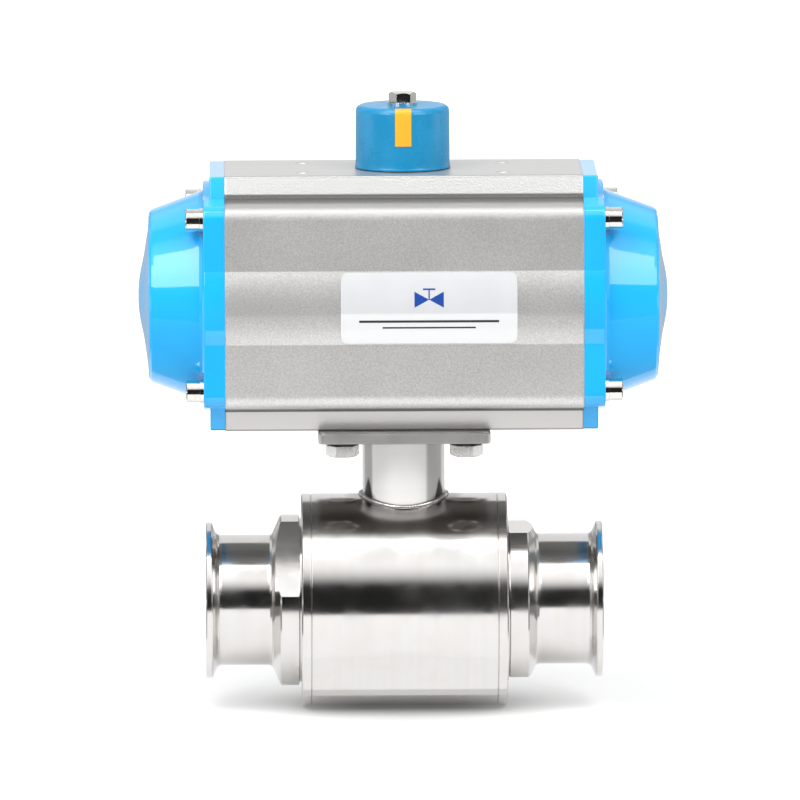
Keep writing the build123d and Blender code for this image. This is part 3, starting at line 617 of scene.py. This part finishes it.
def floor_material():
    """Matt white with a glow that grows away from the object, so that the far floor stays white."""
    material = bpy.data.materials.new("floor_white")
    material.use_nodes = True
    g = Graph(material.node_tree)
    length = g.add("VectorMath")
    length.operation = "LENGTH"
    g.feed(length.inputs[0], g.add("TexCoord").outputs["Object"])
    away = length.outputs["Value"]
    far = g.span(away, 0.35, 1.6, FLOOR_GLOW_NEAR, FLOOR_GLOW_FAR)
    # painted contact shadow: the glow is dimmer under the body, where the two would touch
    foot = g.span(away, 0.064, 0.12, 0.2, 1.0)
    matt = g.add("BsdfDiffuse")
    matt.inputs["Color"].default_value = rgb(FLOOR_ALBEDO, FLOOR_ALBEDO, FLOOR_ALBEDO)
    glow = g.add("Emission")
    g.feed(glow.inputs["Strength"], g.times(far, foot))
    both = g.add("AddShader")
    g.feed(both.inputs[0], matt.outputs[0])
    g.feed(both.inputs[1], glow.outputs[0])
    g.feed(g.add("OutputMaterial").inputs["Surface"], both.outputs[0])
    return material


def glow_material(name, level):
    material = bpy.data.materials.new(name)
    material.use_nodes = True
    g = Graph(material.node_tree)
    glow = g.add("Emission")
    glow.inputs["Color"].default_value = rgb(level, level, level)
    g.feed(g.add("OutputMaterial").inputs["Surface"], glow.outputs[0])
    return material


def flat_sheet(name, outline, z, material):
    mesh = bpy.data.meshes.new(name)
    mesh.from_pydata([(x, y, z) for x, y in outline], [], [tuple(range(len(outline)))])
    mesh.materials.append(material)
    sheet = bpy.data.objects.new(name, mesh)
    scene.collection.objects.link(sheet)
    return sheet


def oblong(x0, x1, y0, y1):
    return [(x0, y0), (x1, y0), (x1, y1), (x0, y1)]


def reflected_sheet(name, outline, level):
    """Sheet just over the floor that shows only in reflections: where the studio's table is another tone, and
    as painted light under the body.
    """
    sheet = flat_sheet(name, outline, FLOOR_Z + 1 * MM, glow_material(name, level))
    sheet.visible_camera = False
    sheet.visible_diffuse = False
    sheet.visible_shadow = False
    sheet.visible_transmission = False


def studio_floor():
    flat_sheet("floor", oblong(-FLOOR_HALF, FLOOR_HALF, -FLOOR_HALF, FLOOR_HALF), FLOOR_Z, floor_material())
    reach = FLOOR_HALF - 0.1
    reflected_sheet("front_dark", oblong(-reach, reach, -reach, -0.48), 0.02)
    for side, s in (("left", -1), ("right", 1)):
        behind = [(0.126, 0.9), (0.84, 6.0), (6.0, 6.0), (6.0, 1.6), (0.9, 0.24)]
        reflected_sheet(f"{side}_dark", [(s * x, y) for x, y in behind], 0.52)
        beside = oblong(0.20, 1.60, -0.47, 0.10)
        reflected_sheet(f"{side}_grey", [(s * x, y) for x, y in beside], 0.30)
    # painted light in reflections: glowing sheets under the body show the floor there bright where it lies in
    # the body's shade
    reflected_sheet("foot_light", oblong(-0.062, 0.062, -0.078, -0.036), 1.16)
    reflected_sheet("foot_shade", oblong(-0.062, 0.062, -0.036, -0.029), 0.80)


def studio_world():
    """White studio for reflections and fill: bright behind and above, dark low in front and beside the back.
    The camera sees plain white. Angles are in degrees, and turn is 0 straight in front."""
    world = bpy.data.worlds.new("studio")
    scene.world = world
    world.use_nodes = True
    g = Graph(world.node_tree)
    x, y, z = g.split(g.add("TexCoord").outputs["Generated"])
    up = g.times(g.math("ARCSINE", z), 180 / math.pi)
    turn = g.math("ABSOLUTE", g.times(g.math("ARCTAN2", x, g.times(y, -1.0)), 180 / math.pi))

    def less(light, *shares):
        """Light with the product of the shares taken off."""
        return g.times(light, g.math("SUBTRACT", 1.0, g.times(*shares)))

    ray = g.add("LightPath")
    mirrored = g.math("SUBTRACT", 1.0, ray.outputs["Is Diffuse Ray"])
    light = g.span(up, 45, 85, WORLD_WALL, WORLD_TOP)
    light = less(light, g.fade(turn, 55, 75), g.fade(up, 21, 38), 0.985)
    light = less(light, g.span(turn, 78, 92), g.fade(turn, 118, 132), g.fade(up, 58, 80), mirrored, 0.72)
    light = less(light, g.span(turn, 132, 142), g.fade(turn, 164, 173), g.fade(up, 22, 40), mirrored, 0.6)
    panel = g.times(g.fade(turn, 60, 80), g.span(up, 34, 46), g.fade(up, 66, 80), 0.35)
    light = g.times(light, g.math("ADD", 1.0, panel))
    seen = ray.outputs["Is Camera Ray"]
    background = g.add("Background")
    base = background.inputs["Color"].default_value[0]
    hidden = g.times(light, g.math("SUBTRACT", 1.0, seen))
    g.feed(background.inputs["Strength"], g.math("ADD", hidden, g.times(seen, 1 / base)))
    g.feed(g.add("OutputWorld").inputs["Surface"], background.outputs[0])


# ---- lights and camera ----
def softbox(name, azimuth, elevation, distance, width, height, watts):
    """Area light that faces the actuator; azimuth 0 is straight in front, positive to the right."""
    a, e = math.radians(azimuth), math.radians(elevation)
    towards = Vector((math.sin(a) * math.cos(e), -math.cos(a) * math.cos(e), math.sin(e)))
    light = bpy.data.lights.new(name, "AREA")
    light.shape = "RECTANGLE"
    light.size = width
    light.size_y = height
    light.energy = watts
    lamp = bpy.data.objects.new(name, light)
    scene.collection.objects.link(lamp)
    lamp.location = Vector((0, 0, AXIS_Z)) + towards * distance
    lamp.rotation_mode = "QUATERNION"
    lamp.rotation_quaternion = towards.to_track_quat("Z", "Y")


def camera():
    """Long lens, a little above the object and turned slightly to the right."""
    place = Vector((-0.1213, -8.0, 1.1686))
    turn, dip, roll = (math.radians(angle) for angle in (-0.855, -7.485, -0.164))
    data = bpy.data.cameras.new("camera")
    data.sensor_width = 36.0
    data.lens = 622.2
    data.clip_start = 0.1
    data.clip_end = 100.0
    eye = bpy.data.objects.new("camera", data)
    scene.collection.objects.link(eye)
    level = math.radians(90)
    aim = Matrix.Rotation(turn, 4, "Z") @ Matrix.Rotation(level + dip, 4, "X")
    eye.matrix_world = Matrix.Translation(place) @ aim @ Matrix.Rotation(roll, 4, "Z")
    scene.camera = eye


studio_floor()
studio_world()
softbox("softbox_left", -43, 44, 1.7, 0.85, 2.0, 25)
softbox("softbox_right", 43, 44, 1.7, 0.85, 2.0, 19)
camera()
scene.view_settings.view_transform = "Standard"
